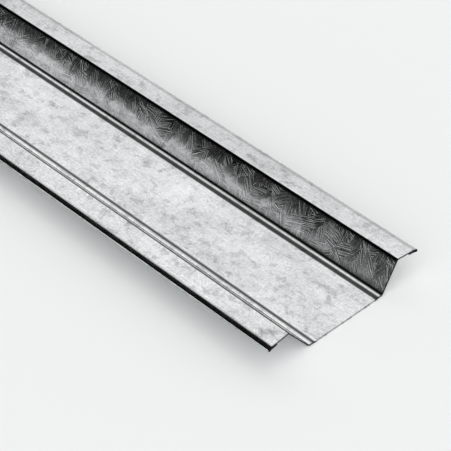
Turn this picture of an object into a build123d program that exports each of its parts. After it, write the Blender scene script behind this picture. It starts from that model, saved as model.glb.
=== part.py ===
from build123d import *
import os
from math import cos, radians, sin, tan

# Hat channel for fixing boards and ceilings: one roll-formed strip of zinc-coated sheet steel.
# It lies open side up, its crown on the floor. X runs along the stock, Y across it and Z up.
# The origin is in the middle of the length and the width, on the floor.

# The stock, in millimetres and degrees
length = 2600.0
depth = 12.0
sheet = 0.5

# The crown: outer width from corner to corner. Its middle band stands proud of a margin along
# each edge, here below it, and a short ramp joins the two. The margin's width takes in the ramp.
crown_width = 35.0
margin_width = 3.3
margin_rise = 0.38
ramp_run = 1.5

# Each wing, a leg with its flange: how far it stands out beyond the crown's corner,
# the leg's lean from level and how far the flange has sprung back past level
wing_width = 17.5
leg_angle = 54.0
flange_droop = 6.0

# The hem folded flat under each flange's outer edge, with the slit left inside the fold.
# Beside the fold the flange dips further down, and the hem dips with it.
hem_width = 4.0
hem_slit = 0.15
dip_width = 1.5
dip_angle = 14.0

# Inside radii of the bends
band_radius = 0.35
margin_radius = 1.0
foot_radius = 1.0
fold_radius = 0.8
dip_radius = 3.75

# The folds are round, so the corner that each one rounds off stands a little over the depth
half_turn = radians(leg_angle + flange_droop) / 2
half_lean = radians(leg_angle - flange_droop) / 2
fold_bend = fold_radius + sheet / 2
band_level = sheet / 2
margin_level = band_level + margin_rise
fold_level = depth - sheet / 2 + fold_bend * (cos(half_lean) / cos(half_turn) - 1)

# Where the middle of the sheet's thickness turns, from the middle of the crown outwards
band_edge = crown_width / 2 - margin_width
leg_foot = crown_width / 2 - sheet / 2 * tan(radians(leg_angle / 2))
leg_top = leg_foot + (fold_level - margin_level) / tan(radians(leg_angle))

# The hem turns about an axis that puts its round edge at the end of the wing
droop = radians(flange_droop)
dipped = radians(flange_droop + dip_angle)
hem_radius = (sheet + hem_slit) / 2
hem_outside = hem_radius + sheet / 2
hem_start = crown_width / 2 + wing_width - hem_outside + hem_radius * sin(dipped)
dip_start = hem_start - dip_width * cos(dipped)
dip_level = fold_level - (dip_start - leg_top) * tan(droop)
hem_start_level = dip_level - dip_width * sin(dipped)
along_flange = Vector(cos(droop), -sin(droop))
along_dip = Vector(cos(dipped), -sin(dipped))

# One half of the strip from the crown out to the hem, with the radius at each of its bends
half = [
    (band_edge, band_level),
    (band_edge + ramp_run, margin_level),
    (leg_foot, margin_level),
    (leg_top, fold_level),
    (dip_start, dip_level),
    (hem_start, hem_start_level),
]
ramp_bends = [band_radius + sheet / 2, margin_radius + sheet / 2]
dip_bend = dip_radius + sheet / 2
bends = ramp_bends + [foot_radius + sheet / 2, fold_bend, dip_bend]

with BuildPart() as hat_channel:
    with BuildSketch(Plane.YZ) as section:
        with BuildLine() as strip:
            other_half = [(-across, level) for across, level in reversed(half)]
            FilletPolyline(*other_half, *half, radius=bends[::-1] + bends)
            # Half a turn under the flange, then back along its underside to the strip's sheared edge
            turn = JernArc(
                start=half[-1],
                tangent=along_dip,
                radius=hem_radius,
                arc_size=-180,
            )
            under_dip = dip_width - 2 * hem_radius * tan(radians(dip_angle) / 2)
            bend_back = turn @ 1 - along_dip * under_dip
            sheared_edge = bend_back - along_flange * (hem_width - hem_outside - under_dip)
            back = FilletPolyline(
                turn @ 1,
                bend_back,
                sheared_edge,
                radius=dip_bend - 2 * hem_radius,
            )
            mirror([turn, back], about=Plane.YZ)
        trace(line_width=sheet)
    extrude(amount=length / 2, both=True)

hat_channel.part.label = "hat_channel"

os.makedirs("parts", exist_ok=True)
export_step(hat_channel.part, "parts/hat_channel.step")
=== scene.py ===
from math import atan2, ceil, cos, hypot, pi, radians, sin, tan

import bpy
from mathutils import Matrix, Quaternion, Vector


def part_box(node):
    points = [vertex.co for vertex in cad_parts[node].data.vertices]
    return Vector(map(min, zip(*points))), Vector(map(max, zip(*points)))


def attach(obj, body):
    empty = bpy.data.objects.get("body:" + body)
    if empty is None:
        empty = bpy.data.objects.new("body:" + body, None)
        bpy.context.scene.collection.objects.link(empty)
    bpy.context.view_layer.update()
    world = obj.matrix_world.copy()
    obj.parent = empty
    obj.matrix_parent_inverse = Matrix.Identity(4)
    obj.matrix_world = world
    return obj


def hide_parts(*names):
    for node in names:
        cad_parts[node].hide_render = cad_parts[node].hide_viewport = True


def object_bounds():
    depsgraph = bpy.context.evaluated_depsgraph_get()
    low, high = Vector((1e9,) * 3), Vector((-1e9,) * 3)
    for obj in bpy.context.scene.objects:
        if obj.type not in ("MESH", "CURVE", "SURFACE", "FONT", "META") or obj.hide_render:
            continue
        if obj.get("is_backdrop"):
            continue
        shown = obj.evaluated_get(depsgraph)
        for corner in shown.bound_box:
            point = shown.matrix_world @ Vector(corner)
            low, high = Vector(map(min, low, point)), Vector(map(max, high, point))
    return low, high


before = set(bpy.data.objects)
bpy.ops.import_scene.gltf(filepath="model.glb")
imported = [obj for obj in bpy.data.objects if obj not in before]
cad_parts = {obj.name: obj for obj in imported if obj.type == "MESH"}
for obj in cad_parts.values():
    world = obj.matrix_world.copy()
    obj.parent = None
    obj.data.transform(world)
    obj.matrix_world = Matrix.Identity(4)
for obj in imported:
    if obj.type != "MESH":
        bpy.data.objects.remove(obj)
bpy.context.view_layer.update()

# The strip is one length of zinc-coated sheet steel, dipped in coil and slit to width.
# Rollers fold it from the outside in: hem, dip, flange, leg, then the step along the crown.
# It is then sheared to length, and the cut leaves bare steel at the two ends.
MM = 0.001
low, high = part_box("hat_channel")
SHEET = 0.5 * MM
CROWN_WIDTH = 35.0 * MM
MARGIN_WIDTH = 3.3 * MM
MARGIN_RISE = 0.38 * MM
RAMP_RUN = 1.5 * MM
LEG_LEAN = radians(54.0)
FLANGE_DROOP = radians(6.0)
HEM_WIDTH = 4.0 * MM
HEM_SLIT = 0.15 * MM
HEM_DIP = radians(14.0)
DIP_WIDTH = 1.5 * MM
BAND_BEND = 0.35 * MM + SHEET / 2
MARGIN_BEND = 1.0 * MM + SHEET / 2
FOOT_BEND = 1.0 * MM + SHEET / 2
FOLD_BEND = 0.8 * MM + SHEET / 2
DIP_BEND = 4.0 * MM
HEM_BEND = (SHEET + HEM_SLIT) / 2
LEG_BOW = 0.36 * MM
BOW_FADE = 75.0 * MM
BOW_WAVE = 90.0 * MM
WAVE_SHARE = 0.8

# Where the middle of the sheet's thickness turns, from the middle of the crown outwards
turned = (LEG_LEAN + FLANGE_DROOP) / 2
leaned = (LEG_LEAN - FLANGE_DROOP) / 2
band_level = SHEET / 2
margin_level = band_level + MARGIN_RISE
fold_level = high.z - SHEET / 2 + FOLD_BEND * (cos(leaned) / cos(turned) - 1)
band_edge = CROWN_WIDTH / 2 - MARGIN_WIDTH
leg_foot = CROWN_WIDTH / 2 - SHEET / 2 * tan(LEG_LEAN / 2)
leg_top = leg_foot + (fold_level - margin_level) / tan(LEG_LEAN)
hem_start = high.y - HEM_BEND - SHEET / 2 + HEM_BEND * sin(FLANGE_DROOP + HEM_DIP)
dip_start = hem_start - DIP_WIDTH * cos(FLANGE_DROOP + HEM_DIP)
dip_level = fold_level - (dip_start - leg_top) * tan(FLANGE_DROOP)
corners = [
    (0.0, band_level),
    (band_edge, band_level),
    (band_edge + RAMP_RUN, margin_level),
    (leg_foot, margin_level),
    (leg_top, fold_level),
    (dip_start, dip_level),
]
runs = [hypot(y1 - y0, z1 - z0) for (y0, z0), (y1, z1) in zip(corners, corners[1:])]
runs += [DIP_WIDTH, DIP_WIDTH - 2 * HEM_BEND * tan(HEM_DIP / 2)]
rise = atan2(MARGIN_RISE, RAMP_RUN)
turns = [rise, -rise, LEG_LEAN, -LEG_LEAN - FLANGE_DROOP, -HEM_DIP, -pi, HEM_DIP]
bends = [BAND_BEND, MARGIN_BEND, FOOT_BEND, FOLD_BEND, DIP_BEND, HEM_BEND, DIP_BEND - 2 * HEM_BEND]
steps_in_bends = [4, 4, 8, 10, 4, 14, 3]

# The same turns as lines across the flat strip: each starts where its bend starts
folds = []
cross_lines = [0.0]
WIDEST_STEP = 2.4 * MM


def add_flat(length):
    start = cross_lines[-1]
    steps = ceil(length / WIDEST_STEP)
    for step in range(1, steps + 1):
        cross_lines.append(start + length * step / steps)


def add_bend(turn, radius, steps):
    start = cross_lines[-1]
    folds.append((start, radius, turn))
    for step in range(1, steps + 1):
        cross_lines.append(start + radius * abs(turn) * step / steps)


# A bend takes this much off the straight run on each side of its corner, but a half turn has no corner
set_back = 0.0
for run, turn, bend, steps in zip(runs, turns, bends, steps_in_bends):
    next_set_back = 0.0 if turn == -pi else bend * tan(abs(turn) / 2)
    add_flat(run - set_back - next_set_back)
    add_bend(turn, bend, steps)
    set_back = next_set_back
add_flat(HEM_WIDTH - HEM_BEND - SHEET / 2 - runs[-1] - set_back)

band_line, margin_line, foot_line, fold_line, dip_line, hem_line = [fold[0] for fold in folds[:6]]
leg_start = foot_line + FOOT_BEND * LEG_LEAN
leg_length = fold_line - leg_start

# The flat strip before it is rolled
STATIONS = 208
across = [-line for line in reversed(cross_lines[1:])] + cross_lines
columns = len(across)
blank = bpy.data.meshes.new("flat_strip")
points = [
    (low.x + (high.x - low.x) * station / STATIONS, line, 0.0)
    for station in range(STATIONS + 1)
    for line in across
]
faces = [
    (corner, corner + columns, corner + columns + 1, corner + 1)
    for station in range(STATIONS)
    for corner in range(station * columns, (station + 1) * columns - 1)
]
blank.from_pydata(points, [], faces)
strip = bpy.data.objects.new("flat_strip", blank)
bpy.context.scene.collection.objects.link(strip)


def add_node(tree, kind, inputs=None, **settings):
    node = tree.nodes.new(kind)
    for name, value in settings.items():
        setattr(node, name, value)
    for key, value in (inputs or {}).items():
        if isinstance(value, bpy.types.NodeSocket):
            tree.links.new(value, node.inputs[key])
        else:
            node.inputs[key].default_value = value
    return node


def calc(tree, operation, *values):
    return add_node(tree, "ShaderNodeMath", dict(enumerate(values)), operation=operation).outputs[0]


def separate(tree, vector):
    return add_node(tree, "ShaderNodeSeparateXYZ", {0: vector}).outputs


def new_group(name, kind, sockets_in, sockets_out):
    tree = bpy.data.node_groups.new(name, kind)
    for label, socket in sockets_in:
        tree.interface.new_socket(label, in_out="INPUT", socket_type=socket)
    for label, socket in sockets_out:
        tree.interface.new_socket(label, in_out="OUTPUT", socket_type=socket)
    return tree, tree.nodes.new("NodeGroupInput").outputs, tree.nodes.new("NodeGroupOutput").inputs


# One fold: all that lies past its line, on both sides of the strip, turns about the bend's centre
def make_fold_group():
    tree, given, result = new_group(
        "fold",
        "GeometryNodeTree",
        [
            ("Geometry", "NodeSocketGeometry"),
            ("Line", "NodeSocketFloat"),
            ("Radius", "NodeSocketFloat"),
            ("Angle", "NodeSocketFloat"),
        ],
        [("Geometry", "NodeSocketGeometry")],
    )
    stored = add_node(tree, "GeometryNodeInputNamedAttribute", {"Name": "blank"}, data_type="FLOAT_VECTOR")
    flat = separate(tree, stored.outputs["Attribute"])
    here = separate(tree, tree.nodes.new("GeometryNodeInputPosition").outputs[0])
    side = calc(tree, "SIGN", flat[1])
    past = calc(tree, "SUBTRACT", calc(tree, "ABSOLUTE", flat[1]), given["Line"])
    bend_length = calc(tree, "MULTIPLY", given["Radius"], calc(tree, "ABSOLUTE", given["Angle"]))
    rolled = calc(tree, "MINIMUM", calc(tree, "MAXIMUM", past, 0.0), bend_length)
    angle = calc(tree, "DIVIDE", calc(tree, "MULTIPLY", given["Angle"], rolled), bend_length)
    sine = calc(tree, "SINE", angle)
    cosine = calc(tree, "COSINE", angle)

    # The centre is over the line where the sheet turns up, and under it where the sheet turns down
    centre_height = calc(tree, "DIVIDE", bend_length, given["Angle"])
    rolled_to = calc(tree, "ADD", given["Line"], rolled)
    out = calc(tree, "SUBTRACT", calc(tree, "MULTIPLY", side, here[1]), rolled_to)
    up = calc(tree, "SUBTRACT", here[2], centre_height)
    out_kept = calc(tree, "MULTIPLY", out, cosine)
    out_lost = calc(tree, "MULTIPLY", up, sine)
    up_kept = calc(tree, "MULTIPLY", up, cosine)
    up_gained = calc(tree, "MULTIPLY", out, sine)
    turned_out = calc(tree, "ADD", given["Line"], calc(tree, "SUBTRACT", out_kept, out_lost))
    turned_up = calc(tree, "ADD", centre_height, calc(tree, "ADD", up_gained, up_kept))
    new_place = {0: here[0], 1: calc(tree, "MULTIPLY", side, turned_out), 2: turned_up}
    moved = add_node(tree, "ShaderNodeCombineXYZ", new_place).outputs[0]
    placed = add_node(tree, "GeometryNodeSetPosition", {"Geometry": given["Geometry"], "Position": moved})
    tree.links.new(placed.outputs[0], result["Geometry"])
    return tree


fold_group = make_fold_group()

WELD = 0.01 * MM
CREASE = radians(40.0)


def store(tree, geometry, name, value, data_type, domain):
    return add_node(
        tree,
        "GeometryNodeStoreNamedAttribute",
        {"Geometry": geometry, "Name": name, "Value": value},
        data_type=data_type,
        domain=domain,
    ).outputs[0]


def lift(tree, geometry, height):
    offset = add_node(tree, "ShaderNodeCombineXYZ", {2: height}).outputs[0]
    return add_node(tree, "GeometryNodeSetPosition", {"Geometry": geometry, "Offset": offset}).outputs[0]


def make_rolling_tree():
    tree, given, result = new_group(
        "roll_forming",
        "GeometryNodeTree",
        [
            ("Strip", "NodeSocketGeometry"),
            ("Sheet", "NodeSocketFloat"),
            ("Crown level", "NodeSocketFloat"),
            ("Leg bow", "NodeSocketFloat"),
            ("Finish", "NodeSocketMaterial"),
        ],
        [("Strip", "NodeSocketGeometry")],
    )
    # The sheet's two faces and its sheared edges. Each point keeps its place on the flat strip.
    position = tree.nodes.new("GeometryNodeInputPosition").outputs[0]
    marked = store(tree, given["Strip"], "blank", position, "FLOAT_VECTOR", "POINT")
    upper = add_node(
        tree,
        "GeometryNodeExtrudeMesh",
        {"Mesh": marked, "Offset": (0.0, 0.0, 1.0), "Offset Scale": given["Sheet"], "Individual": False},
        mode="FACES",
    )
    walled = store(tree, upper.outputs["Mesh"], "sheared", upper.outputs["Side"], "FLOAT", "FACE")
    flipped = add_node(tree, "GeometryNodeFlipFaces", {"Mesh": marked}).outputs[0]
    lower = store(tree, flipped, "underside", 1.0, "FLOAT", "FACE")
    joined = tree.nodes.new("GeometryNodeJoinGeometry")
    tree.links.new(walled, joined.inputs[0])
    tree.links.new(lower, joined.inputs[0])
    to_weld = {"Geometry": joined.outputs[0], "Distance": WELD}
    closed = add_node(tree, "GeometryNodeMergeByDistance", to_weld).outputs[0]
    centred = lift(tree, closed, calc(tree, "MULTIPLY", given["Sheet"], -0.5))

    # Rolling left the +Y leg a little bowed and wavy, less so near the sheared ends
    flat = separate(tree, position)
    past = calc(tree, "SUBTRACT", calc(tree, "ABSOLUTE", flat[1]), leg_start)
    up_the_leg = calc(tree, "MAXIMUM", calc(tree, "DIVIDE", past, leg_length), 0.0)
    up_the_leg = calc(tree, "MINIMUM", up_the_leg, 1.0)
    arch = calc(tree, "SINE", calc(tree, "MULTIPLY", up_the_leg, pi))
    to_the_end = calc(tree, "SUBTRACT", high.x, calc(tree, "ABSOLUTE", flat[0]))
    held_straight = calc(tree, "EXPONENT", calc(tree, "DIVIDE", to_the_end, -BOW_FADE))
    wave = add_node(
        tree,
        "ShaderNodeTexNoise",
        {"Vector": position, "Scale": 1 / BOW_WAVE, "Detail": 1.0},
    ).outputs[0]
    wave = calc(tree, "MULTIPLY_ADD", wave, WAVE_SHARE, 1 - WAVE_SHARE / 2)
    bow_share = calc(tree, "MULTIPLY", calc(tree, "SUBTRACT", 1.0, held_straight), wave)
    bow_share = calc(tree, "MULTIPLY", bow_share, calc(tree, "GREATER_THAN", flat[1], 0.0))
    bow = calc(tree, "MULTIPLY", calc(tree, "MULTIPLY", arch, given["Leg bow"]), bow_share)
    folded = lift(tree, centred, bow)

    for line, radius, turn in reversed(folds):
        fold = add_node(tree, "GeometryNodeGroup", node_tree=fold_group)
        tree.links.new(folded, fold.inputs["Geometry"])
        fold.inputs["Line"].default_value = line
        fold.inputs["Radius"].default_value = radius
        fold.inputs["Angle"].default_value = turn
        folded = fold.outputs[0]
    raised = lift(tree, folded, given["Crown level"])

    # The bends are shaded smooth, and the sheared edges stay sharp
    all_smooth = {"Geometry": raised, "Shade Smooth": True}
    smooth = add_node(tree, "GeometryNodeSetShadeSmooth", all_smooth).outputs[0]
    edge_angle = tree.nodes.new("GeometryNodeInputMeshEdgeAngle").outputs["Unsigned Angle"]
    creased = calc(tree, "GREATER_THAN", edge_angle, CREASE)
    sharp = add_node(
        tree,
        "GeometryNodeSetShadeSmooth",
        {"Geometry": smooth, "Selection": creased, "Shade Smooth": False},
        domain="EDGE",
    ).outputs[0]
    real = add_node(tree, "GeometryNodeRealizeInstances", {0: sharp}).outputs[0]
    finished = add_node(tree, "GeometryNodeSetMaterial", {"Geometry": real, "Material": given["Finish"]})
    tree.links.new(finished.outputs[0], result[0])
    return tree


# The zinc froze in flat grains a few millimetres wide. In each one, needles branch off a stem
# at one angle, mirrored either side of it, as in a feather.
GRAIN = 6.5 * MM
GRAIN_EDGE_WAVE = 2.2 * MM
GRAIN_EDGE_SHIFT = 4.0 * MM
NEEDLE_LENGTH = 10.0 * MM
NEEDLE_WIDTH = 0.45 * MM
NEEDLE_ANGLE = radians(30.0)
NEEDLES_APART = 40.0
FAINTEST_NEEDLES = 0.4
STEM_SPREAD = radians(110.0)
HALF = (0.5, 0.5, 0.5)


def fade(tree, value, start, end, low_value=0.0, high_value=1.0):
    return add_node(
        tree,
        "ShaderNodeMapRange",
        {"Value": value, "From Min": start, "From Max": end, "To Min": low_value, "To Max": high_value},
        interpolation_type="SMOOTHSTEP",
    ).outputs[0]


def vector_calc(tree, operation, *values):
    inputs = dict(enumerate(values))
    return add_node(tree, "ShaderNodeVectorMath", inputs, operation=operation).outputs[0]


def scaled(tree, vector, factor):
    return add_node(tree, "ShaderNodeVectorMath", {0: vector, 3: factor}, operation="SCALE").outputs[0]


def turned_level(tree, vector, angle):
    inputs = {"Vector": vector, "Angle": angle}
    return add_node(tree, "ShaderNodeVectorRotate", inputs, rotation_type="Z_AXIS").outputs[0]


def stretched(tree, place, along, across, shift=(0.0, 0.0, 0.0)):
    return vector_calc(tree, "MULTIPLY_ADD", place, (1 / along, 1 / across, 1.0), shift)


def noise(tree, place, detail, roughness, output="Fac"):
    inputs = {"Vector": place, "Scale": 1.0, "Detail": detail, "Roughness": roughness}
    return add_node(tree, "ShaderNodeTexNoise", inputs).outputs[output]


def make_spangle_group():
    tree, given, result = new_group(
        "spangle",
        "ShaderNodeTree",
        [("Blank", "NodeSocketVector")],
        [
            ("Grain", "NodeSocketVector"),
            ("Needles", "NodeSocketFloat"),
        ],
    )
    # The grains' edges are ragged
    ragged = stretched(tree, given["Blank"], GRAIN_EDGE_WAVE, GRAIN_EDGE_WAVE)
    ragged = vector_calc(tree, "SUBTRACT", noise(tree, ragged, 3.0, 0.5, "Color"), HALF)
    edge_shift = (GRAIN_EDGE_SHIFT, GRAIN_EDGE_SHIFT, 0.0)
    shifted = vector_calc(tree, "MULTIPLY_ADD", ragged, edge_shift, given["Blank"])
    grains = add_node(
        tree,
        "ShaderNodeTexVoronoi",
        {"Vector": shifted, "Scale": 1 / GRAIN},
        voronoi_dimensions="2D",
    ).outputs
    chance = separate(tree, grains["Color"])

    # Each grain's stem points its own way, in a fan about one way across the strip
    stem = calc(tree, "MULTIPLY_ADD", chance[0], STEM_SPREAD, -pi / 2 - STEM_SPREAD / 2)
    in_grain = vector_calc(tree, "SUBTRACT", given["Blank"], grains["Position"])
    by_stem = separate(tree, turned_level(tree, in_grain, stem))
    half_feather = {0: by_stem[0], 1: calc(tree, "ABSOLUTE", by_stem[1])}
    mirrored = add_node(tree, "ShaderNodeCombineXYZ", half_feather).outputs[0]
    by_needle = turned_level(tree, mirrored, NEEDLE_ANGLE)

    # Each grain has its own needles, clear in some grains and faint in others
    own = scaled(tree, grains["Color"], NEEDLES_APART)
    needles = noise(tree, stretched(tree, by_needle, NEEDLE_LENGTH, NEEDLE_WIDTH, own), 1.5, 0.6)
    needles = calc(tree, "SUBTRACT", fade(tree, needles, 0.4, 0.64), 0.5)
    clearness = calc(tree, "ADD", chance[2], FAINTEST_NEEDLES)
    needles = calc(tree, "MULTIPLY_ADD", needles, clearness, 0.5)
    tree.links.new(grains["Color"], result["Grain"])
    tree.links.new(needles, result["Needles"])
    return tree


def mix_values(tree, share, first, second):
    return add_node(tree, "ShaderNodeMix", {0: share, 2: first, 3: second}).outputs[0]


def mix_colours(tree, share, first, second):
    return add_node(tree, "ShaderNodeMix", {0: share, 6: first, 7: second}, data_type="RGBA").outputs[2]


spangle = make_spangle_group()
zinc = bpy.data.materials.new("zinc_coating")
zinc.use_nodes = True
coat = zinc.node_tree
shader = coat.nodes["Principled BSDF"].inputs
blank_place = add_node(coat, "ShaderNodeAttribute", attribute_name="blank").outputs["Vector"]
underside = add_node(coat, "ShaderNodeAttribute", attribute_name="underside").outputs["Fac"]
sheared = add_node(coat, "ShaderNodeAttribute", attribute_name="sheared").outputs["Fac"]

# The strip's two faces show different parts of the same pattern
OTHER_FACE = (0.31, 0.17, 0.0)
place = vector_calc(coat, "ADD", blank_place, scaled(coat, OTHER_FACE, underside))
feathers = add_node(coat, "ShaderNodeGroup", node_tree=spangle)
coat.links.new(place, feathers.inputs["Blank"])
grain, needles = feathers.outputs
chance = separate(coat, grain)

# Marks on the zinc, each with its size along the strip and across it
PATCH = (5.0 * MM, 4.0 * MM)
SPECK = (1.3 * MM, 1.0 * MM)
WIDE_PATCH = (45.0 * MM, 14.0 * MM)
RUBBED_LINE = (60.0 * MM, 0.5 * MM)
STAIN = (8.0 * MM, 5.0 * MM)
STAIN_SHIFT = (3.7, 1.9, 0.0)
patches = noise(coat, stretched(coat, place, *PATCH), 4.0, 0.6)
specks = noise(coat, stretched(coat, place, *SPECK), 3.0, 0.7)
wide = noise(coat, stretched(coat, place, *WIDE_PATCH), 2.0, 0.5)
rubbed = noise(coat, stretched(coat, place, *RUBBED_LINE), 3.0, 0.6)
stain = noise(coat, stretched(coat, place, *STAIN, STAIN_SHIFT), 5.0, 0.62)

# Tone: bright and dull grains, fine specks, dull spots that show their needles, and rubbed lines.
# Here and there the zinc is stained, in ragged patches.
ZINC_TONE = 0.775
DULL_SPOT_TONE = -0.3
STAINED_TONE = 0.77
dull_spots = calc(coat, "MULTIPLY", fade(coat, patches, 0.5, 0.68), needles)
tone = calc(coat, "MULTIPLY_ADD", dull_spots, DULL_SPOT_TONE, ZINC_TONE)
layers = [
    (chance[1], 0.08),
    (patches, -0.18),
    (specks, 0.6),
    (wide, 0.42),
    (rubbed, 0.3),
    (needles, 0.08),
]
for layer, weight in layers:
    tone = calc(coat, "ADD", tone, calc(coat, "MULTIPLY", calc(coat, "SUBTRACT", layer, 0.5), weight))
tone = calc(coat, "MULTIPLY", tone, fade(coat, stain, 0.57, 0.61, 1.0, STAINED_TONE))

# Painted shade: dark lines are painted into the tone along the ramps, one foot, the folds and the hems,
# and a painted highlight brightens the other foot. Each line here has its place across the strip, its half
# width, how far out it has faded, and the share of the tone that it leaves.
from_centre, from_middle = separate(coat, blank_place)[:2]
off_middle = calc(coat, "ABSOLUTE", from_middle)
ramp_middle = (band_line + margin_line) / 2
fold_outside = fold_line + FOLD_BEND * (LEG_LEAN + FLANGE_DROOP) * 0.3
dip_face = dip_line + DIP_BEND * HEM_DIP
under_hem = hem_line + HEM_BEND * pi * 0.52
painted_shade_and_highlight_lines = [
    (ramp_middle + 0.2 * MM, 0.45 * MM, 1.2 * MM, 0.08),
    (-ramp_middle - 0.35 * MM, 0.25 * MM, 1.05 * MM, 0.12),
    (foot_line + 0.6 * MM, 0.4 * MM, 1.1 * MM, 0.15),
    (-foot_line - 0.5 * MM, 0.45 * MM, 0.85 * MM, 1.22),
    (fold_outside, 0.4 * MM, 0.6 * MM, 0.12),
    (-fold_outside, 0.4 * MM, 0.55 * MM, 0.02),
    (dip_face + 0.2 * MM, 0.5 * MM, 1.1 * MM, 0.68),
    (-dip_face, 0.7 * MM, 1.2 * MM, 0.85),
    (under_hem, 0.15 * MM, 0.25 * MM, 0.1),
    (-under_hem, 0.15 * MM, 0.25 * MM, 0.45),
]
for line, half_width, faded, left in painted_shade_and_highlight_lines:
    apart = calc(coat, "ABSOLUTE", calc(coat, "SUBTRACT", from_middle, line))
    tone = calc(coat, "MULTIPLY", tone, fade(coat, apart, half_width, faded, left, 1.0))

# Painted shade: the face 0.1 to 0.35 mm from the cut is darkened, in place of the shade of an edge the
# shears drew over
CUT_SHADE_FROM = high.x - 0.35 * MM
CUT_SHADE_TO = high.x - 0.1 * MM
CUT_SHADE_TONE = 0.35
to_the_cut = calc(coat, "ABSOLUTE", from_centre)
tone = calc(coat, "MULTIPLY", tone, fade(coat, to_the_cut, CUT_SHADE_FROM, CUT_SHADE_TO, 1.0, CUT_SHADE_TONE))
ZINC_TINT = (0.985, 1.0, 1.01)
coated = scaled(coat, ZINC_TINT, tone)

# The cut is bare steel. The crown's is cleaner and paler than the rest, but for a few short dark
# stretches. The hem's cut is painted near-black from the dip line out: painted shade of the hem's slit.
DULL_STEEL = (0.008, 0.008, 0.009, 1)
BRIGHT_STEEL = (0.06, 0.06, 0.06, 1)
CLEAN_STEEL = (0.42, 0.42, 0.42, 1)
SLIT_SHADE = (0.003, 0.003, 0.003, 1)
bare = mix_colours(coat, specks, DULL_STEEL, BRIGHT_STEEL)
clean_cut = fade(coat, off_middle, band_edge - 0.6 * MM, band_edge - 0.2 * MM, 0.9, 0.0)
clean_cut = calc(coat, "MULTIPLY", clean_cut, fade(coat, patches, 0.5, 0.57, 1.0, 0.15))
bare = mix_colours(coat, clean_cut, bare, CLEAN_STEEL)
# Painted shade: the hem's cut goes near-black, where its slit lies in shade
slit_shade_share = fade(coat, off_middle, dip_line, dip_line + 0.6 * MM)
bare = mix_colours(coat, slit_shade_share, bare, SLIT_SHADE)
coat.links.new(mix_colours(coat, sheared, coated, bare), shader["Base Color"])
coat.links.new(calc(coat, "SUBTRACT", 1.0, sheared), shader["Metallic"])

SMOOTHEST_ZINC = 0.11
ROUGHEST_ZINC = 0.17
ROUGH_CUT = 0.6
zinc_roughness = fade(coat, patches, 0.3, 0.7, SMOOTHEST_ZINC, ROUGHEST_ZINC)
coat.links.new(mix_values(coat, sheared, zinc_roughness, ROUGH_CUT), shader["Roughness"])
shader["Specular IOR Level"].default_value = 0.1

# Relief: the needles stand up by under 0.02 mm, and each grain lies at its own slight tilt.
# The rolls pressed both flatter everywhere but on the legs.
NEEDLE_HEIGHT = 0.018 * MM
SPECK_HEIGHT = 0.0012 * MM
RUBBED_HEIGHT = 0.001 * MM
GRAIN_TILT = (0.032, 0.032, 0.032)
PRESSED = 0.15
on_leg = calc(
    coat,
    "MULTIPLY",
    fade(coat, off_middle, leg_start, leg_start + 1.5 * MM, PRESSED, 1.0),
    fade(coat, off_middle, fold_line, fold_line - 1.0 * MM, PRESSED, 1.0),
)
relief = calc(coat, "MULTIPLY", calc(coat, "MULTIPLY", needles, NEEDLE_HEIGHT), on_leg)
relief = calc(coat, "MULTIPLY_ADD", specks, SPECK_HEIGHT, relief)
relief = calc(coat, "MULTIPLY_ADD", rubbed, RUBBED_HEIGHT, relief)
bump = add_node(coat, "ShaderNodeBump", {"Height": relief, "Distance": 1.0, "Strength": 1.0}).outputs[0]
tilt = scaled(coat, vector_calc(coat, "SUBTRACT", grain, HALF), on_leg)
tilted = vector_calc(coat, "MULTIPLY_ADD", tilt, GRAIN_TILT, bump)
coat.links.new(vector_calc(coat, "NORMALIZE", tilted), shader["Normal"])

# The rolled strip is kept as a plain mesh
rolling = strip.modifiers.new("roll_forming", "NODES")
rolling.node_group = make_rolling_tree()
sizes_given = {"Sheet": SHEET, "Crown level": band_level, "Leg bow": LEG_BOW, "Finish": zinc}
for item in rolling.node_group.interface.items_tree:
    if item.name in sizes_given and item.in_out == "INPUT":
        rolling[item.identifier] = sizes_given[item.name]

depsgraph = bpy.context.evaluated_depsgraph_get()
rolled_mesh = bpy.data.meshes.new_from_object(
    strip.evaluated_get(depsgraph), preserve_all_data_layers=True, depsgraph=depsgraph
)
bpy.data.objects.remove(strip)
folded_strip = bpy.data.objects.new("folded_strip", rolled_mesh)
bpy.context.scene.collection.objects.link(folded_strip)
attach(folded_strip, "root")
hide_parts("hat_channel")

# The studio's floor is matt pale paper for the stock to lie on.
# It is wide enough to fill the picture from any side.
FLOOR_WIDTH = 40.0
PAPER_COLOUR = (0.87, 0.89, 0.885, 1)
bpy.ops.mesh.primitive_plane_add(size=FLOOR_WIDTH, location=(0, 0, 0))
floor = bpy.context.object
floor.name = "floor"
paper = bpy.data.materials.new("paper")
paper.use_nodes = True
matt = paper.node_tree.nodes["Principled BSDF"].inputs
matt["Base Color"].default_value = PAPER_COLOUR
matt["Roughness"].default_value = 0.9
matt["Specular IOR Level"].default_value = 0.0
floor.data.materials.append(paper)
floor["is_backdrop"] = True

# The sky is white in front and low down. Behind, one side stays white and the other is dark above
# a bright strip along the horizon. The level faces mirror the white side, and one leg mirrors the
# strip and the dark above it. The fold between them mirrors where white turns to dark.
WHITE_SKY = 0.89
SOFT_LIGHT = 0.97
LIGHT_FROM = sin(radians(3.0))
NEAR_STRIP = 0.7
FAR_STRIP = 0.85
STRIP_RISE = 0.055
NEAR_DARK = 0.06
FAR_DARK = 0.004
world = bpy.data.worlds.new("studio")
bpy.context.scene.world = world
world.use_nodes = True
sky = world.node_tree
direction = sky.nodes.new("ShaderNodeTexCoord").outputs["Generated"]
along, sideways, upwards = separate(sky, direction)

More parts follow.
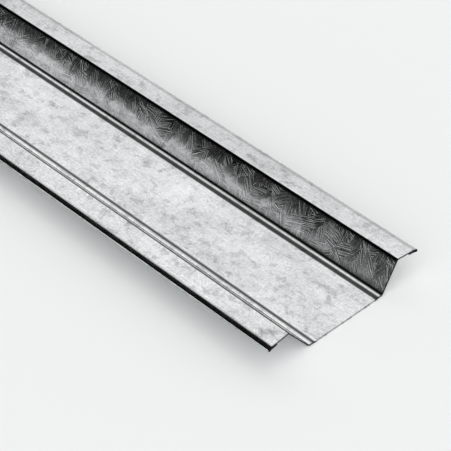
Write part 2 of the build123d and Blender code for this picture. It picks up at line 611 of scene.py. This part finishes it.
# The white side, by how far a direction leans to the +Y side
sideways_squared = calc(sky, "MULTIPLY", sideways, sideways)
upwards_squared = calc(sky, "MULTIPLY", upwards, upwards)
reach = calc(sky, "SQRT", calc(sky, "ADD", sideways_squared, upwards_squared))
lean = calc(sky, "DIVIDE", sideways, reach)
soft_light = fade(sky, lean, LIGHT_FROM - 0.07, LIGHT_FROM + 0.15, 0.0, SOFT_LIGHT)
soft_light = calc(sky, "MULTIPLY", soft_light, fade(sky, lean, 0.5, 0.85, 1.0, 0.85))

# The dark side and its bright strip, which reaches a little higher towards the +Y side
far_side = fade(sky, sideways, -0.2, 0.2)
height = calc(sky, "MULTIPLY_ADD", far_side, -STRIP_RISE, upwards)
low_light = fade(sky, far_side, 0.0, 1.0, NEAR_STRIP, FAR_STRIP)
low_light = calc(sky, "MULTIPLY", fade(sky, height, 0.25, 0.2), low_light)
dim_light = fade(sky, far_side, 0.0, 1.0, NEAR_DARK, FAR_DARK)
dim_light = calc(sky, "MULTIPLY", fade(sky, upwards, 0.36, 0.27), dim_light)
dark_side = calc(sky, "MAXIMUM", calc(sky, "MAXIMUM", low_light, dim_light), FAR_DARK)

# The two sides are only behind the stock and above the horizon
behind = calc(sky, "MULTIPLY", fade(sky, along, 0.05, -0.2), fade(sky, upwards, 0.08, 0.14))
two_sides = calc(sky, "MAXIMUM", soft_light, dark_side)
backdrop = sky.nodes["Background"].inputs
sky.links.new(mix_values(sky, behind, WHITE_SKY, two_sides), backdrop["Strength"])
backdrop["Color"].default_value = (1.0, 1.0, 1.0, 1)

# A wide, weak sun fills the shadows, and the metal doesn't mirror it
fill = bpy.data.objects.new("fill", bpy.data.lights.new("fill", "SUN"))
fill.data.energy = 1.5
fill.data.angle = radians(110.0)
fill.rotation_euler = (radians(34.0), radians(37.0), 0.0)
fill.visible_glossy = False
bpy.context.scene.collection.objects.link(fill)

# The view: the camera looks down on the cut end of the stock, from the side of one flange.
# Its picture is turned a little about the line of sight.
VIEW_AZIMUTH = radians(52.23)
VIEW_ELEVATION = radians(40.31)
VIEW_ROLL = radians(-5.93)
VIEW_DISTANCE = 812.0 * MM
VIEW_FROM_END = 67.97 * MM
VIEW_ACROSS = 5.26 * MM
LENS = 179.8
back = Vector((
    sin(VIEW_AZIMUTH) * cos(VIEW_ELEVATION),
    -cos(VIEW_AZIMUTH) * cos(VIEW_ELEVATION),
    sin(VIEW_ELEVATION),
))
camera = bpy.data.objects.new("camera", bpy.data.cameras.new("camera"))
camera.data.lens = LENS
camera.data.clip_end = 100.0
camera.location = Vector((high.x - VIEW_FROM_END, VIEW_ACROSS, 0.0)) + back * VIEW_DISTANCE
camera.rotation_mode = "QUATERNION"
camera.rotation_quaternion = (-back).to_track_quat("-Z", "Y") @ Quaternion((0, 0, 1), VIEW_ROLL)
bpy.context.scene.collection.objects.link(camera)
bpy.context.scene.camera = camera

bpy.context.scene.view_settings.view_transform = "Standard"

low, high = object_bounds()
